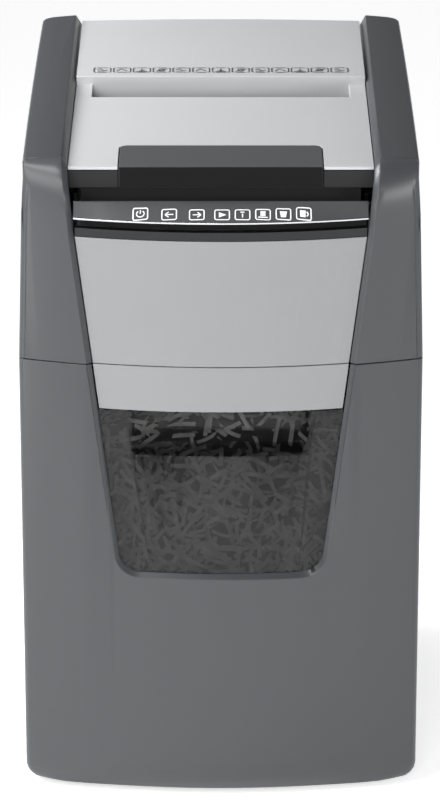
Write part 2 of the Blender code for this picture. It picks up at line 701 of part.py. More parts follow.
def electrics():
    block("main_board", (-0.158, 0.060, 0.4060), (-0.1564, 0.160, 0.4900), BOARD)
    block("lid_interlock_switch", (0.1330, -0.1500, 0.5200), (0.1430, -0.1360, 0.5340), BLACK)
    y = rear_y(SWITCH_X)
    low = (SWITCH_X - 0.0066, y - 0.020, SWITCH_Z - 0.0136)
    housing = block("power_switch_housing", low, (SWITCH_X + 0.0066, y + 0.0006, SWITCH_Z + 0.0136), BLACK)
    low = (SWITCH_X - 0.0052, y - 0.008, SWITCH_Z - 0.0115)
    cut(housing, block("rocker_bay", low, (SWITCH_X + 0.0052, y + 0.01, SWITCH_Z + 0.0115), BLACK))
    outline = [(y - 0.0035, SWITCH_Z - 0.0102), (y + 0.0002, SWITCH_Z - 0.0102), (y + 0.0006, SWITCH_Z),
               (y + 0.0034, SWITCH_Z + 0.0098), (y - 0.0035, SWITCH_Z + 0.0098)]
    rocker = slab("power_rocker", outline, "x", SWITCH_X - 0.0048, SWITCH_X + 0.0048, BLACK)
    hang(pivot("rocker_axis", (SWITCH_X, y - 0.0020, SWITCH_Z)), rocker)

    y = rear_y(GLAND_X)
    profile = [(-0.012, 0.0070), (0.0025, 0.0070), (0.0026, 0.0095), (0.0050, 0.0090), (0.0065, 0.0065)]
    gland = turned("cord_gland", profile, (GLAND_X, y, GLAND_Z), RUBBER, 24, "y")
    bore = [(-0.02, 0.0036), (0.02, 0.0036)]
    cut(gland, turned("gland_bore", bore, (GLAND_X, y, GLAND_Z), RUBBER, 16, "y"))


# ---- Lid ----------------------------------------------------------------------------------
def lid_outline(half, front, inset=0.0, corner=0.0):
    """Plan outline of a lid piece, whose rear edge follows the housing's bow."""
    rear = [(x, rear_y(x) - inset) for x in spread(half, -half, 8)]
    if corner:
        first, last = rear[0], rear[-1]
        right = fillet((half, front), first, rear[1], corner, 5)
        left = fillet(rear[-2], last, (-half, front), corner, 5)
        rear = right + rear[1:-1] + left
    return [(-half, front), (half, front)] + rear


def rectangle(half, low_y, high_y):
    return [(-half, low_y), (half, low_y), (half, high_y), (-half, high_y)]


def sloped(name, outline, below_top, below_low, finish):
    rings = [[(x, y, lid_z(y, below)) for x, y in outline] for below in (below_low, below_top)]
    return loft(name, rings, finish)


def notch_outline(half, rear, radius):
    left, right = (-half, -0.19), (half, -0.19)
    far_right, far_left = (half, rear), (-half, rear)
    right_round = fillet(right, far_right, far_left, radius)
    left_round = fillet(far_right, far_left, left, radius)
    return [left, right] + right_round + left_round


def arm_section(sign, y, closed):
    """Channel section of a side arm: inner chamfer, flat top, outer skirt down to the seam.

    A closed section has its hollow filled, for the wall at the rear end.
    """
    inner, outer = LID_PLATE_HALF + LID_GAP, ARM_OUTER - 0.03 * (y + 0.050) ** 2
    top, low = arm_top(y), arm_bottom(y)
    base = lid_z(y, 0.0031)
    ramp = base + (top - base) * 0.45
    brow = inner + ARM_CHAMFER
    outside = [
        (inner, ramp), (brow, top + crown(brow)), (0.1500, top + crown(0.1500)),
        (outer - 0.0030, top + crown(outer)), (outer - 0.0008, top + crown(outer) - 0.0008),
        (outer, top + crown(outer) - 0.0030), (outer, low), (outer - WALL, low)]
    if closed:
        shelf = low + 0.0004
        inside = [(outer - WALL, low + 0.0003), (0.1570, shelf), (inner + WALL + 0.003, shelf),
                  (inner + WALL, low + 0.0003), (inner + WALL, low + 0.0002)]
        points = [(inner, low + 0.0002)] + outside + inside
    else:
        inside = [(outer - WALL, top - 0.0068), (0.1570, top - 0.0038), (inner + WALL + 0.003, top - WALL),
                  (inner + WALL, base + (top - base) * 0.35), (inner + WALL, base)]
        points = [(inner, base)] + outside + inside
    return [(sign * x, y, z) for x, z in points]


def lid():
    axis = pivot("lid_hinge_axis", (0, HINGE_Y, HINGE_Z))

    outline = rectangle(LID_PLATE_HALF, LID_FRONT_Y, SLOT_FRONT_Y)
    front = sloped("lid_front_plate", outline, 0.0, PLATE, SILVER)
    notch = notch_outline(HANDLE_HALF + 0.0008, HANDLE_REAR_Y + 0.0008, 0.007)
    cut(front, slab("handle_notch", notch, "z", 0.5, 0.62, SILVER))

    step = REAR_PLATE_STEP
    outline = lid_outline(LID_PLATE_HALF, SLOT_REAR_Y, 0.0005)
    rear = sloped("lid_rear_plate", outline, -step, PLATE - step, SILVER)
    wall = rectangle(LID_PLATE_HALF, SLOT_REAR_Y, SLOT_REAR_Y + 0.0025)
    join(rear, sloped("step_wall", wall, -step + 0.001, 0.0029, SILVER))
    lip = rectangle(SLOT_HALF + 0.0025, SLOT_REAR_Y, SLOT_REAR_Y + 0.0025)
    join(rear, sloped("slot_rear_wall", lip, 0.002, SLOT_DEPTH, SILVER))
    for side, sign in (("left", -1), ("right", 1)):
        ends = sorted((sign * SLOT_HALF, sign * LID_PLATE_HALF))
        ledge = [(ends[0], SLOT_FRONT_Y + SEAM), (ends[1], SLOT_FRONT_Y + SEAM),
                 (ends[1], SLOT_REAR_Y + 0.001), (ends[0], SLOT_REAR_Y + 0.001)]
        join(rear, sloped(f"slot_ledge_{side}", ledge, 0.0003, PLATE, SILVER))
        ends = sorted((sign * SLOT_HALF, sign * (SLOT_HALF + 0.0025)))
        cheek = [(ends[0], SLOT_FRONT_Y + SEAM), (ends[1], SLOT_FRONT_Y + SEAM),
                 (ends[1], SLOT_REAR_Y + 0.001), (ends[0], SLOT_REAR_Y + 0.001)]
        join(rear, sloped(f"slot_end_{side}", cheek, 0.001, 0.0100, SILVER))

    wing = [(0.1280, LID_FRONT_Y + 0.0005), (0.1280, ARM_FRONT_Y + 0.001), (0.1605, ARM_FRONT_Y + 0.001),
            (0.1605, 0.1760), (0.1530, 0.1875), (0.1280, 0.1885)]
    rear_arc = [(x, rear_y(x) - 0.0035) for x in spread(0.1280, -0.1280, 8)]
    frame = sloped("lid_frame", wing + rear_arc + mirrored(wing), 0.0034, 0.0064, BLACK)
    skirt = [(-LID_PLATE_HALF, LID_FRONT_Y + 0.0005), (LID_PLATE_HALF, LID_FRONT_Y + 0.0005),
             (LID_PLATE_HALF, LID_FRONT_Y + 0.0035), (-LID_PLATE_HALF, LID_FRONT_Y + 0.0035)]
    rings = [[(x, y, z) for x, y in skirt] for z in (LID_SKIRT_Z, LID_FRONT_Z - 0.0040)]
    join(frame, loft("front_skirt", rings, BLACK))
    rear_run = thicken([(x, rear_y(x) - 0.0008) for x in spread(0.1235, -0.1235, 8)], 0.0028)
    rear_top = lid_z(REAR_Y - 0.010, 0.0045)
    join(frame, slab("rear_skirt", rear_run, "z", 0.5872, rear_top, BLACK))
    for side, sign in (("left", -1), ("right", 1)):
        xs = sorted((sign * (EAR_X - 0.003), sign * (EAR_X + 0.003)))
        low = HINGE_Z - 0.008
        ear = [(HINGE_Y - 0.0075, low), (HINGE_Y + 0.0075, low), (HINGE_Y + 0.0075, lid_z(HINGE_Y, 0.0045)),
               (HINGE_Y - 0.0075, lid_z(HINGE_Y, 0.0050))]
        join(frame, slab(f"hinge_ear_{side}", ear, "x", xs[0], xs[1], BLACK))
        hole = turned(f"pin_hole_{side}", [(-0.01, 0.0043), (0.01, 0.0043)],
                      (sign * EAR_X, HINGE_Y, HINGE_Z), BLACK, 20)
        cut(frame, hole)
        turned(f"hinge_pin_{side}", [(-0.0085, 0.0038), (0.0085, 0.0038)],
               (sign * PIN_X, HINGE_Y, HINGE_Z), STEEL, 20)
    slot_half = SLOT_HALF + 0.0030
    low = (-slot_half, SLOT_FRONT_Y - 0.001, 0.5)
    slot = block("lid_slot", low, (slot_half, SLOT_REAR_Y + 0.0034, 0.62), BLACK)
    cut(frame, slot)
    grip = notch_outline(HANDLE_HALF + 0.0005, HANDLE_REAR_Y - 0.004, 0.006)
    cut(frame, slab("grip_notch", grip, "z", 0.5, 0.62, BLACK))

    arms = []
    for side, sign in (("left", -1), ("right", 1)):
        stations = [(ARM_FRONT_Y, False), (-0.070, False), (0.020, False), (0.110, False), (HINGE_Y, False),
                    (0.1920, False), (0.1930, True), (0.1960, True), (0.1990, True), (0.2025, True)]
        arm = loft(f"lid_arm_{side}", [arm_section(sign, y, end) for y, end in stations], DARK)
        plan = lid_outline(ARM_OUTER + 0.0002, -0.25, 0.0, REAR_CORNER)
        keep_inside(arm, slab(f"arm_plan_{side}", plan, "z", 0.5, 0.65, DARK))
        arms.append(arm)

    outline = notch_outline(HANDLE_HALF, HANDLE_REAR_Y, 0.0065)
    outline = [(x, max(y, LID_FRONT_Y - 0.0015)) for x, y in outline]
    handle = sloped("lid_handle", outline, -0.0006, 0.0024, BLACK)
    rings = [[(-HANDLE_HALF, LID_FRONT_Y - 0.0015, z), (HANDLE_HALF, LID_FRONT_Y - 0.0015, z),
              (HANDLE_HALF, LID_FRONT_Y + 0.0012, z), (-HANDLE_HALF, LID_FRONT_Y + 0.0012, z)]
             for z in (0.5410, LID_FRONT_Z - 0.001)]
    join(handle, loft("handle_front", rings, BLACK))
    hang(axis, front, rear, frame, handle, *arms)

    press_axis = pivot("press_plate_axis", (0, 0, 0.545))
    outline = [(-0.1120, -0.1480), (0.1120, -0.1480), (0.1120, 0.1580), (-0.1120, 0.1580)]
    plate = sloped("press_plate", outline, 0.0215, 0.0245, BLACK)
    slot = block("press_slot", (-0.1080, -0.020, 0.5), (0.1080, 0.034, 0.6), BLACK)
    cut(plate, slot)
    hang(press_axis, plate)
    press_axis.parent = axis
    press_axis.location = press_axis.location - axis.location


cabinet()
bin_pieces()
head_housing()
front_trim()
feed_tray()
mechanism()
electrics()
lid()
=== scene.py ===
"""Looks of the auto-feed paper shredder, built up in the order in which it is put together."""
import json
import math
import random

import bmesh
import bpy
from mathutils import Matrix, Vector
from mathutils.bvhtree import BVHTree


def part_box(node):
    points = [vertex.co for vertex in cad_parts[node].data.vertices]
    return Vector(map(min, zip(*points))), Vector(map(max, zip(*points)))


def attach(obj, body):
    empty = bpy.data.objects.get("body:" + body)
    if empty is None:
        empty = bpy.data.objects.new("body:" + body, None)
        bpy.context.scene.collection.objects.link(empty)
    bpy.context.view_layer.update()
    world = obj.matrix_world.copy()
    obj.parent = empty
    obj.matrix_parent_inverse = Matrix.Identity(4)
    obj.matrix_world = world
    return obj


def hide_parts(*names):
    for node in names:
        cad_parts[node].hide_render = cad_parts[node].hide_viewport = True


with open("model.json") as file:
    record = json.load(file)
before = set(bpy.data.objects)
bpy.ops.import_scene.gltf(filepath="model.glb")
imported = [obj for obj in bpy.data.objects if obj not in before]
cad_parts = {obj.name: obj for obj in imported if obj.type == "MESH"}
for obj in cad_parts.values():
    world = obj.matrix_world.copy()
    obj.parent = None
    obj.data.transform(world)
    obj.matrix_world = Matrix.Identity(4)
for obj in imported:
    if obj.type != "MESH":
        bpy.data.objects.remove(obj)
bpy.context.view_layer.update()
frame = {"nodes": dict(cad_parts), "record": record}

scene = bpy.context.scene
scene.view_settings.view_transform = "Standard"

# ---- Studio -------------------------------------------------------------------------------
# A wide pale floor, soft boxes at the left and in front, a weaker one at the right, and an even
# pale surround.
EYE = (0.0, -3.0953, 1.3160)
EYE_PITCH = 18.2
SURROUND_STRENGTH = 0.22
FLOOR_GLOW = 0.62


def linear(hex_colour, alpha=1.0):
    """An sRGB hex colour as linear light."""
    channels = [int(hex_colour[i:i + 2], 16) / 255 for i in (0, 2, 4)]
    bent = [c / 12.92 if c <= 0.04045 else ((c + 0.055) / 1.055) ** 2.4 for c in channels]
    return (*bent, alpha)


def add(tree, kind, inputs=None, **settings):
    """Adds a node, sets its properties, and fills or links its inputs by name or number."""
    made = tree.nodes.new(kind)
    for name, value in settings.items():
        setattr(made, name, value)
    for name, value in (inputs or {}).items():
        if isinstance(value, bpy.types.NodeSocket):
            tree.links.new(value, made.inputs[name])
        else:
            made.inputs[name].default_value = value
    return made


camera_data = bpy.data.cameras.new("camera")
camera_data.lens = 162.1
camera_data.sensor_width = 36.0
camera_data.shift_x = -0.0011
camera_data.clip_end = 50.0
camera = bpy.data.objects.new("camera", camera_data)
camera.location = EYE
camera.rotation_euler = (math.radians(90 - EYE_PITCH), 0, 0)
scene.collection.objects.link(camera)
scene.camera = camera

world = bpy.data.worlds.new("studio_surround")
world.use_nodes = True
world.node_tree.nodes["Background"].inputs["Color"].default_value = linear("ffffff")
world.node_tree.nodes["Background"].inputs["Strength"].default_value = SURROUND_STRENGTH
scene.world = world


def soft_box(name, place, aim, size, power):
    """A rectangular soft light turned towards a point; size in metres, power in watts."""
    lamp = bpy.data.lights.new(name, "AREA")
    lamp.shape = "RECTANGLE"
    lamp.size, lamp.size_y = size
    lamp.energy = power
    holder = bpy.data.objects.new(name, lamp)
    holder.location = place
    holder.rotation_euler = (Vector(aim) - Vector(place)).to_track_quat("-Z", "Y").to_euler()
    scene.collection.objects.link(holder)


soft_box("key_box", (-1.10, -1.25, 1.35), (0, 0, 0.4), (0.7, 0.7), 11)
soft_box("front_box", (-0.30, -2.40, 1.25), (0, 0, 0.4), (0.5, 0.5), 12)
soft_box("left_strip", (-1.15, -0.85, 0.35), (0, 0, 0.25), (0.4, 0.7), 3)
soft_box("near_left_box", (-0.75, 0.10, 1.05), (0, 0, 0.5), (0.4, 0.4), 9)
soft_box("upper_left_box", (-0.60, -0.72, 1.75), (0, 0, 0.5), (0.45, 0.45), 7)
soft_box("low_right_box", (1.35, -1.50, 0.75), (0, 0, 0.4), (0.5, 0.35), 8)

# A very broad, weak light from above and slightly behind lifts the lid and the floor.
overhead = bpy.data.lights.new("overhead_sky_panel", "SUN")
overhead.energy = 0.25
overhead.angle = math.radians(50)
overhead_holder = bpy.data.objects.new("overhead_sky_panel", overhead)
overhead_holder.rotation_euler = (math.radians(-14), math.radians(-16), 0)
scene.collection.objects.link(overhead_holder)


def sweep_floor():
    """Wide round floor whose far edge bends up, so that no line shows from any side."""
    flat_radius, bend_radius, sectors = 34.0, 6.0, 64
    profile = [(flat_radius * share, 0.0) for share in (0.02, 0.1, 0.4, 1.0)]
    for i in range(1, 9):
        turn = math.radians(90 * i / 8)
        profile.append((flat_radius + bend_radius * math.sin(turn), bend_radius * (1 - math.cos(turn))))
    points = [(r * math.cos(2 * math.pi * k / sectors), r * math.sin(2 * math.pi * k / sectors), z)
              for r, z in profile for k in range(sectors)]
    faces = [tuple(range(sectors))]
    for ring in range(len(profile) - 1):
        for k in range(sectors):
            near, far = ring * sectors, (ring + 1) * sectors
            after = (k + 1) % sectors
            faces.append((near + k, far + k, far + after, near + after))
    mesh = bpy.data.meshes.new("floor")
    mesh.from_pydata(points, [], faces)
    mesh.shade_smooth()
    made = bpy.data.objects.new("floor", mesh)
    scene.collection.objects.link(made)
    # Matt paper: no highlight, and so faint a mottle that it reads as plain white.
    pale = bpy.data.materials.new("matt_white_paper")
    pale.use_nodes = True
    shader = pale.node_tree.nodes["Principled BSDF"]
    grain = add(pale.node_tree, "ShaderNodeTexNoise", {"Scale": 4.0, "Detail": 2.0})
    tint = add(pale.node_tree, "ShaderNodeMix", {0: grain.outputs["Fac"]}, data_type="RGBA")
    tint.inputs["A"].default_value = linear("f6f6f6")
    tint.inputs["B"].default_value = linear("fafafa")
    pale.node_tree.links.new(tint.outputs["Result"], shader.inputs["Base Color"])
    shader.inputs["Roughness"].default_value = 0.9
    shader.inputs["Emission Color"].default_value = linear("ffffff")
    shader.inputs["Emission Strength"].default_value = FLOOR_GLOW
    mesh.materials.append(pale)


sweep_floor()

# ---- Cabinet: side panels, back, base, feet, rails ----------------------------------------
# The cabinet is injection-moulded ABS in dark grey with a fine spark-eroded texture, so it
# shows a soft, grainy sheen with brighter, smoother edges. It stands on four rubber feet.
BODY_OF = {node: body for body, nodes in frame["record"]["behaviour"]["bodies"].items() for node in nodes}


CLOUD_MM = 60.0


def moulded(name, hex_colour, roughness, grain_mm=0.6, depth=0.00003, mottle=0.05, metallic=0.0,
            gloss=0.5):
    """Moulded or painted plastic: a fine grain of grain_mm, and slow changes of tone and sheen.

    depth is the grain's height in metres, mottle the share by which the colour wanders."""
    made = bpy.data.materials.new(name)
    made.use_nodes = True
    tree = made.node_tree
    shader = tree.nodes["Principled BSDF"]
    shader.inputs["Metallic"].default_value = metallic
    shader.inputs["Specular IOR Level"].default_value = gloss
    where = add(tree, "ShaderNodeTexCoord").outputs["Object"]
    grain = add(tree, "ShaderNodeTexNoise", {"Vector": where, "Scale": 1000 / grain_mm, "Detail": 3.0})
    cloud = add(tree, "ShaderNodeTexNoise", {"Vector": where, "Scale": 1000 / CLOUD_MM, "Detail": 4.0})
    both = add(tree, "ShaderNodeMath", {0: grain.outputs["Fac"], 1: cloud.outputs["Fac"]}, operation="ADD")
    half = add(tree, "ShaderNodeMath", {0: both.outputs[0], 1: 0.5}, operation="MULTIPLY")
    base = Vector(linear(hex_colour)[:3])
    tone = add(tree, "ShaderNodeMix", {0: half.outputs[0]}, data_type="RGBA")
    tone.inputs["A"].default_value = (*(base * (1 - mottle)), 1)
    tone.inputs["B"].default_value = (*(base * (1 + mottle)), 1)
    tree.links.new(tone.outputs["Result"], shader.inputs["Base Color"])
    sheen = add(tree, "ShaderNodeMapRange", {
        "Value": half.outputs[0], "To Min": roughness - 0.05, "To Max": roughness + 0.05})
    tree.links.new(sheen.outputs["Result"], shader.inputs["Roughness"])
    bump = add(tree, "ShaderNodeBump", {"Height": grain.outputs["Fac"], "Strength": 0.5, "Distance": depth})
    tree.links.new(bump.outputs["Normal"], shader.inputs["Normal"])
    return made


# Textured ABS from a spark-eroded mould, black ABS of the inner parts, and moulded rubber.
grey_abs = moulded("dark_grey_textured_abs", "3e4043", 0.33, gloss=0.5)
black_abs = moulded("black_textured_abs", "1f1f20", 0.5, gloss=0.3)
rubber = moulded("moulded_rubber", "222222", 0.75, grain_mm=0.9)


MERGE_DISTANCE = 0.00012
FLAT_ANGLE = 0.4
TWISTED_ANGLE = 0.03


def finished(node, finish, edge=0.0009, steps=2, corner=33, extra=(), flat=FLAT_ANGLE,
             prepare=None):
    """A copy of a solid with its flats merged and its edges rounded, which then stands for it.

    edge is the rounding in metres, corner the least angle in degrees that is rounded, and flat
    the greatest angle between faces that become one. A smaller flat is for twisted surfaces,
    whose shading is then evened out."""
    shape = bmesh.new()
    shape.from_mesh(frame["nodes"][node].data)
    bmesh.ops.remove_doubles(shape, verts=shape.verts, dist=MERGE_DISTANCE)
    bmesh.ops.dissolve_limit(
        shape, angle_limit=math.radians(flat), verts=shape.verts, edges=shape.edges)
    if prepare:
        prepare(shape)
    mesh = bpy.data.meshes.new(node + "_finish")
    shape.to_mesh(mesh)
    shape.free()
    mesh.shade_smooth()
    mesh.set_sharp_from_angle(angle=math.radians(corner))
    mesh.materials.clear()
    for each in (finish, *extra):
        mesh.materials.append(each)
    made = bpy.data.objects.new(node + "_finish", mesh)
    scene.collection.objects.link(made)
    if edge:
        rounding = made.modifiers.new("edges", "BEVEL")
        rounding.width = edge
        rounding.segments = steps
        rounding.limit_method = "ANGLE"
        rounding.angle_limit = math.radians(corner)
        rounding.use_clamp_overlap = False
        rounding.harden_normals = flat >= FLAT_ANGLE
    if flat < FLAT_ANGLE:
        even = made.modifiers.new("even_shading", "WEIGHTED_NORMAL")
        even.mode = "CORNER_ANGLE"
        even.keep_sharp = True
    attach(made, BODY_OF[node])
    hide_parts(node)
    return made


for panel in ("cabinet_left_panel", "cabinet_right_panel", "cabinet_back_panel"):
    finished(panel, grey_abs, 0.0007)
finished("base_plate", black_abs, 0.0006)
for foot in ("foot_front_left", "foot_front_right", "foot_rear_left", "foot_rear_right"):
    finished(foot, rubber, 0.0008)


def metal(name, hex_colour, roughness, brush_mm=0.4, stretch=(1.0, 1.0, 1.0)):
    """Machined or drawn steel: fine parallel marks that change the sheen and the surface."""
    made = bpy.data.materials.new(name)
    made.use_nodes = True
    tree = made.node_tree
    shader = tree.nodes["Principled BSDF"]
    shader.inputs["Metallic"].default_value = 1.0
    shader.inputs["Base Color"].default_value = linear(hex_colour)
    where = add(tree, "ShaderNodeTexCoord").outputs["Object"]
    along = add(tree, "ShaderNodeMapping", {"Vector": where, "Scale": stretch})
    marks = add(tree, "ShaderNodeTexNoise", {
        "Vector": along.outputs[0], "Scale": 1000 / brush_mm, "Detail": 3.0})
    sheen = add(tree, "ShaderNodeMapRange", {
        "Value": marks.outputs["Fac"], "To Min": roughness - 0.08, "To Max": roughness + 0.12})
    tree.links.new(sheen.outputs["Result"], shader.inputs["Roughness"])
    bump = add(tree, "ShaderNodeBump", {"Height": marks.outputs["Fac"], "Strength": 0.4, "Distance": 0.00002})
    tree.links.new(bump.outputs["Normal"], shader.inputs["Normal"])
    return made


# Machined steel, with marks drawn out along the rolls and shafts.
steel = metal("machined_steel", "a3a3a1", 0.34, stretch=(1.0, 0.15, 0.15))
for rail in ("bin_rail_left", "bin_rail_right"):
    finished(rail, steel, 0.0005)

# ---- Pull-out bin: front, band, window, tub ------------------------------------------------
# One grey moulding makes the front, with a sloping rim round the opening. A silver-painted
# band and a smoked clear window with a recessed grip pocket are clipped in behind the rim.
# Metallic silver paint on ABS: a pale satin surface with a fine flake. The parts on the front
# have a darker copy of it, which is painted shade for their upright faces.
silver = moulded("silver_painted_abs", "c5c6c8", 0.40, grain_mm=0.5, depth=0.000012, mottle=0.035,
                 metallic=0.2)


def clear_plastic(name, hex_colour, density):
    """Smoked polycarbonate: glossy, see-through, with a faint waviness from the tool."""
    made = bpy.data.materials.new(name)
    made.use_nodes = True
    tree = made.node_tree
    shader = tree.nodes["Principled BSDF"]
    shader.inputs["Base Color"].default_value = linear(hex_colour)
    shader.inputs["Alpha"].default_value = density
    where = add(tree, "ShaderNodeTexCoord").outputs["Object"]
    wave = add(tree, "ShaderNodeTexNoise", {"Vector": where, "Scale": 1000 / 35.0, "Detail": 1.0})
    sheen = add(tree, "ShaderNodeMapRange", {"Value": wave.outputs["Fac"], "To Min": 0.06, "To Max": 0.14})
    tree.links.new(sheen.outputs["Result"], shader.inputs["Roughness"])
    bump = add(tree, "ShaderNodeBump", {"Height": wave.outputs["Fac"], "Strength": 0.15, "Distance": 0.0004})
    tree.links.new(bump.outputs["Normal"], shader.inputs["Normal"])
    return made


FRONT_RADIUS = 0.465
POCKET_START = 0.0155     # behind the foremost point of the window
# The moulded window is smoked through; its pocket has a thinner, clearer wall.
smoked = clear_plastic("smoked_polycarbonate", "141415", 0.56)
thin_smoked = clear_plastic("smoked_polycarbonate_thin_wall", "141415", 0.34)
finished("bin_front_panel", grey_abs, 0.0008)
# Painted shade: the band and the fascia take the lid's silver darkened, for the lesser light on upright
# faces.
silver_with_painted_front_shade = moulded("silver_painted_abs_front_shaded", "8b8c8e", 0.40, grain_mm=0.5, depth=0.000012, mottle=0.035,
                       metallic=0.2)
finished("bin_band", silver_with_painted_front_shade, 0.0006)
window = finished("bin_window", smoked, 0.0005, extra=(thin_smoked,))
pocket_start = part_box("bin_window")[0].y + POCKET_START
for polygon in window.data.polygons:
    if polygon.center.y > pocket_start:
        polygon.material_index = 1
finished("bin_tub", black_abs, 0.0008)

# ---- Paper shreds ---------------------------------------------------------------------------
# Cross-cut pieces of copier paper, about 4 by 28 mm and curled by the cutters, lie in a loose
# heap. They are instances scattered over the heap, each turned and bent its own way.
STRIP_LENGTH, STRIP_WIDTH = 0.028, 0.0036
STRIP_STEPS = 8
STRIP_POINTS = 2 * (STRIP_STEPS + 1)


def paper(name, hex_colour):
    """Uncoated paper: matt, with pieces and patches about 9 mm across in light or in shade."""
    made = bpy.data.materials.new(name)
    made.use_nodes = True
    tree = made.node_tree
    shader = tree.nodes["Principled BSDF"]
    where = add(tree, "ShaderNodeTexCoord").outputs["Object"]
    # Painted shade: patches about 9 mm across fall to a quarter of the paper's tone.
    shade_patches = add(tree, "ShaderNodeTexNoise", {"Vector": where, "Scale": 1000 / 9.0, "Detail": 5.0})
    tone = add(tree, "ShaderNodeMix", {0: shade_patches.outputs["Fac"]}, data_type="RGBA")
    base = Vector(linear(hex_colour)[:3])
    tone.inputs["A"].default_value = (*(base * 0.25), 1)
    tone.inputs["B"].default_value = (*base, 1)
    tree.links.new(tone.outputs["Result"], shader.inputs["Base Color"])
    shader.inputs["Roughness"].default_value = 0.85
    return made


white_paper = paper("copier_paper", "f2f1ee")
shade_paper = paper("packed_paper_in_shade", "1e1e1e")


def strip_mesh(name, curl, twist):
    """One curled piece of paper, eight faces long."""
    mesh = bpy.data.meshes.new(name)
    points, faces = [], []
    for i in range(STRIP_STEPS + 1):
        share = i / STRIP_STEPS
        along = (share - 0.5) * STRIP_LENGTH
        lift = curl * math.sin(math.pi * share)
        turn = twist * (share - 0.5)
        for side in (-0.5, 0.5):
            points.append((along, side * STRIP_WIDTH * math.cos(turn),
                           lift + side * STRIP_WIDTH * math.sin(turn)))
        if i:
            faces.append((2 * i - 2, 2 * i - 1, 2 * i + 1, 2 * i))
    mesh.from_pydata(points, [], faces)
    mesh.shade_smooth()
    mesh.materials.append(white_paper)
    made = bpy.data.objects.new(name, mesh)
    scene.collection.objects.link(made)
    return made


def scatter_tree(name, strips):
    """Geometry nodes: points scattered on a surface, each holding one strip turned at random."""
    tree = bpy.data.node_groups.new(name, "GeometryNodeTree")
    face = tree.interface
    face.new_socket("Surface", in_out="INPUT", socket_type="NodeSocketGeometry")
    for label, kind in (
            ("Density", "NodeSocketFloat"), ("Spread", "NodeSocketFloat"), ("Seed", "NodeSocketInt")):
        face.new_socket(label, in_out="INPUT", socket_type=kind)
    face.new_socket("Shreds", in_out="OUTPUT", socket_type="NodeSocketGeometry")
    start = add(tree, "NodeGroupInput")
    dots = add(tree, "GeometryNodeDistributePointsOnFaces", {
        "Mesh": start.outputs["Surface"], "Density": start.outputs["Density"], "Seed": start.outputs["Seed"]})
    reach = add(tree, "ShaderNodeVectorMath", {0: (1.0, 1.0, 1.0)}, operation="SCALE")
    tree.links.new(start.outputs["Spread"], reach.inputs["Scale"])
    back = add(tree, "ShaderNodeVectorMath", {0: reach.outputs[0]}, operation="SCALE")
    back.inputs["Scale"].default_value = -1.0
    jitter = add(tree, "FunctionNodeRandomValue", {
        0: back.outputs[0], 1: reach.outputs[0], "Seed": 5}, data_type="FLOAT_VECTOR")
    moved = add(tree, "GeometryNodeSetPosition", {
        "Geometry": dots.outputs["Points"], "Offset": jitter.outputs[0]})
    kinds = add(tree, "GeometryNodeJoinGeometry")
    for strip in strips:
        info = add(tree, "GeometryNodeObjectInfo", {"Object": strip, "As Instance": True})
        tree.links.new(info.outputs["Geometry"], kinds.inputs["Geometry"])
    tilt = add(tree, "FunctionNodeRandomValue", {
        0: (-0.7, -0.7, -math.pi), 1: (0.7, 0.7, math.pi), "Seed": 11}, data_type="FLOAT_VECTOR")
    turn = add(tree, "FunctionNodeRotateRotation", {
        "Rotation": dots.outputs["Rotation"], "Rotate By": tilt.outputs[0]}, rotation_space="LOCAL")
    placed = add(tree, "GeometryNodeInstanceOnPoints", {
        "Points": moved.outputs["Geometry"], "Instance": kinds.outputs["Geometry"],
        "Pick Instance": True, "Rotation": turn.outputs[0]})
    real = add(tree, "GeometryNodeRealizeInstances", {"Geometry": placed.outputs["Instances"]})
    painted = add(tree, "GeometryNodeSetMaterial", {
        "Geometry": real.outputs["Geometry"], "Material": white_paper})
    end = add(tree, "NodeGroupOutput")
    tree.links.new(painted.outputs["Geometry"], end.inputs["Shreds"])
    return tree


def set_inputs(modifier, values):
    """Sets a node modifier's inputs by the identifiers of their sockets."""
    for item in modifier.node_group.interface.items_tree:
        if item.in_out == "INPUT" and item.name in values:
            modifier[item.identifier] = values[item.name]


def baked(source, name):
    """The evaluated shape of an object as a new plain mesh object; the source is removed."""
    bpy.context.view_layer.update()
    graph = bpy.context.evaluated_depsgraph_get()
    mesh = bpy.data.meshes.new_from_object(source.evaluated_get(graph))
    made = bpy.data.objects.new(name, mesh)
    scene.collection.objects.link(made)
    bpy.data.objects.remove(source, do_unlink=True)
    return made


HEAP_TOP = 0.330
BULGE_LOW, BULGE_TOP = 0.1415, 0.300       # the heap leans on the window between these heights
POCKET_UNDERSIDE, POCKET_HALF = 0.3115, 0.080
BEHIND_WINDOW = 0.0045                     # from the front of the window to the nearest paper


def front_set_back(x):
    """How far the curved front lies behind its foremost line, at a distance x from the middle."""
    return FRONT_RADIUS - math.sqrt(FRONT_RADIUS ** 2 - x ** 2)


def heap_shape(inner_low, inner_high, rng):
    """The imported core: a block with an uneven crown and a front that leans on the window."""
    shape = bmesh.new()
    bmesh.ops.create_cube(shape, size=1.0)
    bmesh.ops.subdivide_edges(shape, edges=shape.edges[:], cuts=15, use_grid_fill=True)
    middle, size = (inner_low + inner_high) / 2, inner_high - inner_low
    for v in shape.verts:
        v.co = Vector([middle[i] + v.co[i] * size[i] for i in range(3)])
        at_window = v.co.y < inner_low.y + 0.001 and abs(v.co.x) < 0.096
        if at_window and BULGE_LOW < v.co.z < BULGE_TOP:
            v.co.y -= 0.026 - 0.010 * (v.co.x / 0.1) ** 2 + rng.uniform(-0.002, 0.003)
        elif at_window and BULGE_TOP < v.co.z < BULGE_TOP + 0.020:
            v.co.y -= 0.004
            v.co.z = BULGE_TOP + 0.009
        if v.co.z > inner_high.z - 0.001:
            ridge = 1 - (v.co.x / size.x) ** 2 * 2.2 - ((v.co.y - middle.y) / size.y) ** 2 * 1.2
            v.co.z += 0.022 * (ridge - 0.6) + rng.uniform(-0.004, 0.003)
    mesh = bpy.data.meshes.new("heap_core")
    shape.to_mesh(mesh)
    shape.free()
    mesh.materials.append(shade_paper)
    return mesh


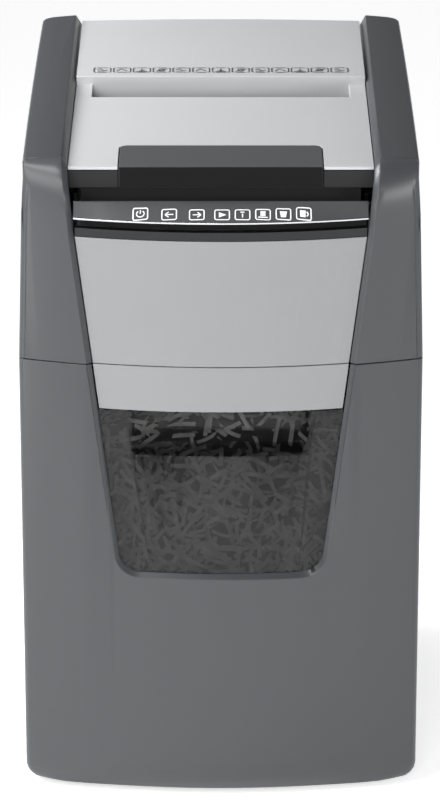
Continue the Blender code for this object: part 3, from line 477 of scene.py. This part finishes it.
def drop_strays(mesh, fits):
    """Removes every whole strip that has a point where it can't be."""
    shape = bmesh.new()
    shape.from_mesh(mesh)
    outside = {v.index // STRIP_POINTS for v in shape.verts if not fits(v.co)}
    stray = [v for v in shape.verts if v.index // STRIP_POINTS in outside]
    bmesh.ops.delete(shape, geom=stray, context="VERTS")
    shape.to_mesh(mesh)
    shape.free()


def heap():
    low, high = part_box("bin_tub")
    inner_low = Vector((low.x + 0.006, low.y + 0.008, low.z + 0.004))
    inner_high = Vector((high.x - 0.006, high.y - 0.006, HEAP_TOP))
    core_mesh = heap_shape(inner_low, inner_high, random.Random(4))
    core = bpy.data.objects.new("shred_heap_core", core_mesh)
    scene.collection.objects.link(core)
    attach(core, "bin")

    strips = [strip_mesh(f"strip_{i}", curl, twist) for i, (curl, twist) in enumerate(
        ((0.003, 0.4), (0.006, -0.8), (0.010, 0.3), (-0.004, 1.2), (0.001, 0.1)))]
    kept = [tuple(polygon.vertices) for polygon in core_mesh.polygons
            if polygon.normal.z > 0.5 or (polygon.normal.y < -0.3 and abs(polygon.center.x) < 0.125)]
    carrier = bpy.data.meshes.new("scatter_surface")
    carrier.from_pydata([tuple(v.co) for v in core_mesh.vertices], [], kept)
    surface = bpy.data.objects.new("scatter_surface", carrier)
    scene.collection.objects.link(surface)
    scatter = surface.modifiers.new("scatter", "NODES")
    scatter.node_group = scatter_tree("paper_scatter", strips)
    set_inputs(scatter, {"Density": 24000.0, "Spread": 0.0045, "Seed": 3})
    shreds = baked(surface, "paper_shreds")
    for strip in strips:
        bpy.data.objects.remove(strip, do_unlink=True)

    limit_low = Vector((low.x + 0.003, low.y, low.z + 0.003))
    limit_high = Vector((high.x - 0.003, high.y - 0.003, high.z - 0.004))
    window_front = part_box("bin_window")[0].y

    def fits(place):
        """True inside the tub, or before it in the space behind the window and its pocket."""
        if all(limit_low[i] < place[i] < limit_high[i] for i in range(3)):
            return True
        in_pocket = place.z > POCKET_UNDERSIDE and abs(place.x) < POCKET_HALF
        return (abs(place.x) < 0.104 and 0.16 < place.z < 0.340 and not in_pocket
                and window_front + BEHIND_WINDOW + front_set_back(place.x) < place.y < limit_high.y)

    drop_strays(shreds.data, fits)
    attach(shreds, "bin")


heap()

# ---- Head housing ---------------------------------------------------------------------------
# Two grey side mouldings carry the front pillars and close the head with a vented back cover.
# The silver fascia, the dark strip with its polished undercut and the bright trim fill the front.
for piece in ("head_left_side", "head_right_side", "head_back_cover"):
    finished(piece, grey_abs, 0.0007)
finished("head_chassis", black_abs, 0.0005)
# The fascia's darker silver is painted shade.
finished("front_fascia", silver_with_painted_front_shade, 0.0006)
# Satin and polished faces of the same black ABS: the polished ones stay near black because
# their sheen is weak and sharp.
panel_abs = moulded("satin_charcoal_abs", "454648", 0.42, grain_mm=0.4, depth=0.00001, gloss=0.35)
gloss_abs = moulded("polished_black_abs", "0f0f10", 0.14, grain_mm=8.0, depth=0.000004, gloss=0.14)
strip_abs = moulded("satin_black_abs", "232425", 0.42, grain_mm=0.4, depth=0.00001, gloss=0.3)
strip = finished("fascia_strip", strip_abs, 0.0003, extra=(gloss_abs,))
UNDERCUT_Z = 0.5113
for polygon in strip.data.polygons:
    if polygon.center.z > UNDERCUT_Z:
        polygon.material_index = 1


def slope_in_steps(shape):
    """Turns the twisted slope between the curved front edge and the straight rear one into quads."""
    bmesh.ops.join_triangles(
        shape, faces=shape.faces[:], angle_face_threshold=math.radians(12),
        angle_shape_threshold=math.radians(60))
    least_rise = 0.012
    long_edges = [e for e in shape.edges if abs(e.verts[0].co.z - e.verts[1].co.z) > least_rise]
    bmesh.ops.subdivide_edges(shape, edges=long_edges, cuts=5, use_grid_fill=True)


finished("control_panel", panel_abs, 0.0003, flat=TWISTED_ANGLE, prepare=slope_in_steps)


def surface_of(node):
    """The solid's surface, for finding where a straight line meets it."""
    mesh = frame["nodes"][node].data
    return BVHTree.FromPolygons([v.co for v in mesh.vertices], [tuple(p.vertices) for p in mesh.polygons])


INK_STEP = 0.0025
INK_WIDTH = 0.0010
INK_LIFT = 0.0004


def printed(name, node, ink, strokes=(), fills=()):
    """Ink marks laid on the top of a part: lines of one width, and filled outlines."""
    under = surface_of(node)
    shape = bmesh.new()

    def point(x, y):
        place, facing, _, _ = under.ray_cast(Vector((x, y, 1.0)), Vector((0, 0, -1)))
        return shape.verts.new(place + facing * INK_LIFT)

    for stroke in strokes:
        for (ax, ay), (bx, by) in zip(stroke, stroke[1:]):
            run = Vector((bx - ax, by - ay))
            half = Vector((-run.y, run.x)).normalized() * INK_WIDTH / 2
            spans = max(1, round(run.length / INK_STEP))
            rows = []
            for i in range(spans + 1):
                x, y = ax + run.x * i / spans, ay + run.y * i / spans
                rows.append((point(x - half.x, y - half.y), point(x + half.x, y + half.y)))
            for (a, b), (c, d) in zip(rows, rows[1:]):
                shape.faces.new((a, c, d, b))
    for outline in fills:
        shape.faces.new([point(x, y) for x, y in outline])
    for face in shape.faces:
        face.normal_update()
        if face.normal.z < 0:
            face.normal_flip()
    mesh = bpy.data.meshes.new(name)
    shape.to_mesh(mesh)
    shape.free()
    mesh.materials.append(ink)
    made = bpy.data.objects.new(name, mesh)
    scene.collection.objects.link(made)
    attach(made, BODY_OF[node])
    return made


def box_outline(cx, cy, wide, deep, corner):
    """A rounded rectangle as one closed line."""
    points = []
    for turn in range(0, 360, 30):
        side = (1 if turn < 90 or turn >= 270 else -1, 1 if turn < 180 else -1)
        bend = math.radians(turn + 15)
        points.append((cx + side[0] * (wide / 2 - corner) + corner * math.cos(bend),
                       cy + side[1] * (deep / 2 - corner) + corner * math.sin(bend)))
    return points + points[:1]


def icon_lines(kind, cx, cy, size, deep):
    """Lines and fills of one symbol, in a box of the given size."""
    def at(u, v):
        return cx + u * size, cy + v * deep
    if kind == "power":
        arc = [at(0.27 * math.sin(math.radians(a)), 0.02 + 0.27 * math.cos(math.radians(a)))
               for a in range(35, 326, 29)]
        return [arc, [at(0, 0.04), at(0, 0.34)]], []
    if kind in ("back", "ahead"):
        way = -1 if kind == "back" else 1
        return [[at(-0.28 * way, 0), at(0.26 * way, 0)],
                [at(0.04 * way, 0.25), at(0.28 * way, 0), at(0.04 * way, -0.25)]], []
    if kind == "play":
        return [], [[at(-0.22, -0.27), at(0.30, 0), at(-0.22, 0.27)]]
    if kind == "jam":
        return [[at(0, -0.28), at(0, 0.12)], [at(-0.14, 0.26), at(0.14, 0.26)]], []
    if kind == "sheet":
        return [[at(-0.33, -0.26), at(0.33, -0.26)]], [
            [at(-0.17, -0.14), at(0.17, -0.14), at(0.17, 0.32), at(-0.17, 0.32)]]
    if kind == "bin":
        return [], [[at(-0.17, -0.28), at(0.17, -0.28), at(0.25, 0.26), at(-0.25, 0.26)]]
    return [[at(0.20, -0.20), at(0.32, -0.02), at(0.20, 0.20)]], [
        [at(-0.26, -0.28), at(0.12, -0.28), at(0.12, 0.28), at(-0.26, 0.28)]]


# Pad-printed ink: thin, even and matt, so the symbols stay crisp from every side.
white_ink = moulded("white_pad_printing_ink", "f4f4f4", 0.5, grain_mm=0.4, depth=0.000004, mottle=0.02)
ICON, ICON_DEEP, ICON_CORNER = 0.0122, 0.0098, 0.0016
ICON_SHARE = 0.377        # how far back the symbols' middle lies on the slope
PANEL_TOP_Y = -0.178
lines, fills = [], []
for kind, x in (("power", -0.067), ("back", -0.043), ("ahead", -0.020), ("play", 0.001), ("jam", 0.018),
                ("sheet", 0.035), ("bin", 0.052), ("door", 0.069)):
    panel_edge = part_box("control_panel")[0].y + front_set_back(x)
    y = panel_edge + ICON_SHARE * (PANEL_TOP_Y - panel_edge)
    lines.append(box_outline(x, y, ICON, ICON_DEEP, ICON_CORNER))
    glyph_lines, glyph_fills = icon_lines(kind, x, y, ICON, ICON_DEEP)
    lines += glyph_lines
    fills += glyph_fills
printed("panel_symbols", "control_panel", white_ink, lines, fills)


def chrome(name):
    """Plated trim: a bright mirror with a faint ripple from the moulding below the plate."""
    made = bpy.data.materials.new(name)
    made.use_nodes = True
    tree = made.node_tree
    shader = tree.nodes["Principled BSDF"]
    shader.inputs["Base Color"].default_value = linear("e2e3e5")
    shader.inputs["Metallic"].default_value = 1.0
    where = add(tree, "ShaderNodeTexCoord").outputs["Object"]
    ripple = add(tree, "ShaderNodeTexNoise", {"Vector": where, "Scale": 1000 / 12.0, "Detail": 1.0})
    sheen = add(tree, "ShaderNodeMapRange", {"Value": ripple.outputs["Fac"], "To Min": 0.08, "To Max": 0.16})
    tree.links.new(sheen.outputs["Result"], shader.inputs["Roughness"])
    return made


finished("chrome_trim", chrome("bright_chrome_plate"), 0.0002)

# ---- Feed tray and mechanism ------------------------------------------------------------------
# The moulded paper well, the rubber pick-up rollers, and under them the hardened cutter rolls
# between pressed steel frames, driven by steel gears from a universal motor.
for piece in ("feed_tray", "power_switch_housing", "lid_interlock_switch"):
    finished(piece, black_abs, 0.0006)
for piece in ("pickup_roller_front", "pickup_roller_rear", "cord_gland"):
    finished(piece, rubber, 0.0004)
for piece in ("cutter_frame_left", "cutter_frame_right", "cutter_roll_front", "cutter_roll_rear",
              "cutter_gear_front", "cutter_gear_rear", "reduction_gear", "motor_pinion",
              "bearing_front_left", "bearing_front_right", "bearing_rear_left", "bearing_rear_right",
              "stripper_comb_front", "stripper_comb_rear", "tie_rod_front", "tie_rod_rear",
              "hinge_pin_left", "hinge_pin_right"):
    finished(piece, steel, 0.0002)
# The motor's enamel is smooth and dark, and the board's solder mask a semi-gloss green.
finished("motor_body", moulded("black_stove_enamel", "242526", 0.35), 0.0006)
finished("main_board", moulded("green_solder_mask", "2b5a38", 0.35, grain_mm=2.0), 0.0002)
finished("power_rocker", gloss_abs, 0.0004)

# ---- Lid ------------------------------------------------------------------------------------
# A black frame carries two silver-painted plates with the paper slot between them, the grey
# side arms, and a lifting handle with a polished front face.
finished("lid_frame", black_abs, 0.0005)
finished("press_plate", black_abs, 0.0006)
for piece in ("lid_front_plate", "lid_rear_plate"):
    finished(piece, silver, 0.0006)
for piece in ("lid_arm_left", "lid_arm_right"):
    finished(piece, grey_abs, 0.0007, flat=TWISTED_ANGLE)
handle_abs = moulded("satin_dark_abs", "48494b", 0.42, grain_mm=0.4, depth=0.00001, gloss=0.35)
handle = finished("lid_handle", handle_abs, 0.0008, 3, extra=(gloss_abs,))
for polygon in handle.data.polygons:
    faces_front = polygon.normal.y < -0.7
    if faces_front:
        polygon.material_index = 1


def sign_lines(kind, cx, cy, wide, deep):
    """One of a row of small caution signs: a corner-bracketed box with a plain symbol."""
    def at(u, v):
        return cx + u * wide, cy + v * deep
    lines = []
    for side in (-1, 1):
        lines.append([at(0.38 * side, 0.5), at(0.5 * side, 0.40),
                      at(0.5 * side, -0.40), at(0.38 * side, -0.5)])
    lines.append([at(-0.30, -0.5), at(0.30, -0.5)])
    lines.append([at(-0.30, 0.5), at(0.30, 0.5)])
    if kind % 4 == 0:
        lines.append([at(-0.32, -0.25), at(-0.05, 0.28), at(0.32, -0.25)])
    elif kind % 4 == 1:
        lines.append([at(-0.32, 0.1), at(-0.10, 0.25), at(0.10, -0.20), at(0.32, 0.0)])
        lines.append([at(-0.30, -0.22), at(0.05, -0.22)])
    elif kind % 4 == 2:
        lines.append([at(0.18 * math.sin(a), 0.26 * math.cos(a))
                      for a in (0, 0.9, 1.8, 2.7, 3.6, 4.5, 5.4, 6.28)])
        lines.append([at(-0.35, -0.28), at(0.35, 0.28)])
    else:
        lines.append([at(0.0, 0.30), at(0.0, -0.28)])
        lines.append([at(-0.16, -0.08), at(0.0, -0.28), at(0.16, -0.08)])
        lines.append([at(-0.34, -0.30), at(0.34, -0.30)])
    return lines


grey_ink = moulded("grey_pad_printing_ink", "3a3c3e", 0.5, grain_mm=0.4, depth=0.000004, mottle=0.02)
SIGNS, SIGN_PITCH, SIGN_Y = 13, 0.0176, 0.0577
SIGN_WIDE, SIGN_DEEP = 0.0150, 0.0120
lines = []
for i in range(SIGNS):
    lines += sign_lines(i * 3 + 1, (i - SIGNS // 2) * SIGN_PITCH, SIGN_Y, SIGN_WIDE, SIGN_DEEP)
printed("lid_signs", "lid_rear_plate", grey_ink, lines)

# ---- Screws ---------------------------------------------------------------------------------
# Zinc-plated cross-head screws hold the back panel and the back cover to the frame. Each is the
# same pressed head, set down to the surface that it holds.
SCREW_RADIUS, SCREW_SIDES = 0.0032, 24
SCREW_X = 0.112


def screw_head(name, radius):
    """A domed head with a cross recess; each ring is a share of the radius and its height."""
    shape = bmesh.new()
    rings = []
    for share, rise in ((0.14, 0.34), (0.42, 0.32), (0.50, 0.31), (0.80, 0.22), (1.0, 0.0), (1.0, -0.15)):
        ring = []
        for i in range(SCREW_SIDES):
            turn = 2 * math.pi * i / SCREW_SIDES
            in_cross = share < 0.45 and i % 6 in (0, 1, 5)
            lift = rise - (0.30 if in_cross else 0.0)
            ring.append(shape.verts.new((radius * share * math.cos(turn), radius * share * math.sin(turn),
                                         radius * lift)))
        rings.append(ring)
    shape.faces.new(rings[0])
    for inner, outer in zip(rings, rings[1:]):
        for i in range(SCREW_SIDES):
            shape.faces.new((inner[i - 1], outer[i - 1], outer[i], inner[i]))
    shape.faces.new(list(reversed(rings[-1])))
    bmesh.ops.recalc_face_normals(shape, faces=shape.faces)
    mesh = bpy.data.meshes.new(name)
    shape.to_mesh(mesh)
    shape.free()
    made = bpy.data.objects.new(name, mesh)
    scene.collection.objects.link(made)
    return made


def screw_tree(name, head, finish):
    """Geometry nodes: one head on every point, its axis along the point's stored direction."""
    tree = bpy.data.node_groups.new(name, "GeometryNodeTree")
    tree.interface.new_socket("Points", in_out="INPUT", socket_type="NodeSocketGeometry")
    tree.interface.new_socket("Head Scale", in_out="INPUT", socket_type="NodeSocketFloat")
    tree.interface.new_socket("Screws", in_out="OUTPUT", socket_type="NodeSocketGeometry")
    start = add(tree, "NodeGroupInput")
    facing = add(tree, "GeometryNodeInputNamedAttribute", {"Name": "facing"}, data_type="FLOAT_VECTOR")
    turn = add(tree, "FunctionNodeAlignRotationToVector", {"Vector": facing.outputs["Attribute"]}, axis="Z")
    info = add(tree, "GeometryNodeObjectInfo", {"Object": head, "As Instance": True})
    placed = add(tree, "GeometryNodeInstanceOnPoints", {
        "Points": start.outputs["Points"], "Instance": info.outputs["Geometry"],
        "Rotation": turn.outputs[0], "Scale": start.outputs["Head Scale"]})
    real = add(tree, "GeometryNodeRealizeInstances", {"Geometry": placed.outputs["Instances"]})
    painted = add(tree, "GeometryNodeSetMaterial", {"Geometry": real.outputs["Geometry"], "Material": finish})
    end = add(tree, "NodeGroupOutput")
    tree.links.new(painted.outputs["Geometry"], end.inputs["Screws"])
    return tree


def rear_screws():
    """Three pairs of screws in the back panel and two in the back cover."""
    # Zinc-plated steel: a pale, slightly soft shine.
    zinc = metal("zinc_plated_steel", "b9bbbd", 0.3)
    head = screw_head("cross_head", SCREW_RADIUS)
    places, facings = [], []
    for node, heights in (("cabinet_back_panel", (0.060, 0.225, 0.380)),
                          ("head_back_cover", (0.480, 0.568))):
        under = surface_of(node)
        for x in (-SCREW_X, SCREW_X):
            for z in heights:
                place, facing, _, _ = under.ray_cast(Vector((x, 1.0, z)), Vector((0, -1, 0)))
                places.append(place + facing * 0.0001)
                facings.append(facing)
    mesh = bpy.data.meshes.new("screw_points")
    mesh.from_pydata(places, [], [])
    stored = mesh.attributes.new("facing", "FLOAT_VECTOR", "POINT")
    for i, facing in enumerate(facings):
        stored.data[i].vector = facing
    carrier = bpy.data.objects.new("screw_points", mesh)
    scene.collection.objects.link(carrier)
    rule = carrier.modifiers.new("screws", "NODES")
    rule.node_group = screw_tree("rear_screws", head, zinc)
    set_inputs(rule, {"Head Scale": 1.0})
    made = baked(carrier, "rear_screws")
    bpy.data.objects.remove(head, do_unlink=True)
    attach(made, "housing")


rear_screws()
